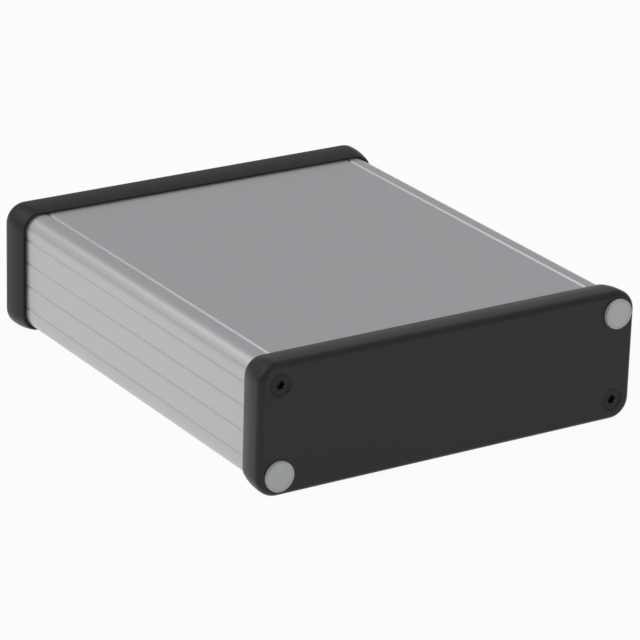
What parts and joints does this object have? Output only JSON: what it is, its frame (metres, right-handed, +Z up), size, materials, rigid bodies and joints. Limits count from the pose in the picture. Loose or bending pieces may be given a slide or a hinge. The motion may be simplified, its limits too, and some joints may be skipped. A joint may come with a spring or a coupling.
{
  "type": "extruded aluminium enclosure",
  "caption": "Low rectangular instrument case: a grooved aluminium extrusion with a slide-in cover plate, closed at both ends by screwed-on black moulded caps.",
  "frame": {"origin": "on the surface the case stands on, under the middle of its length and width", "axes": "+Z up, +Y along the extrusion away from the front cap, +X across the width to the right as the front cap is faced"},
  "size_m": [0.1064, 0.1265, 0.0335],
  "materials": {
    "anodised_aluminium": "satin natural anodised extrusion",
    "black_plastic": "fine-grained moulded plastic",
    "screw_steel": "black oxide",
    "clear_pad": "translucent soft plastic"
  },
  "bodies": {
    "root": {"main_body": "anodised_aluminium", "cover_plate": "anodised_aluminium", "front_end_cap": "black_plastic", "rear_end_cap": "black_plastic", "upper_cover_disc": "clear_pad", "lower_cover_disc": "clear_pad", "front_screw_upper_left": "screw_steel", "front_screw_upper_right": "screw_steel", "front_screw_lower_left": "screw_steel", "front_screw_lower_right": "screw_steel", "rear_screw_upper_left": "screw_steel", "rear_screw_upper_right": "screw_steel", "rear_screw_lower_left": "screw_steel", "rear_screw_lower_right": "screw_steel"}
  },
  "joints": []
}
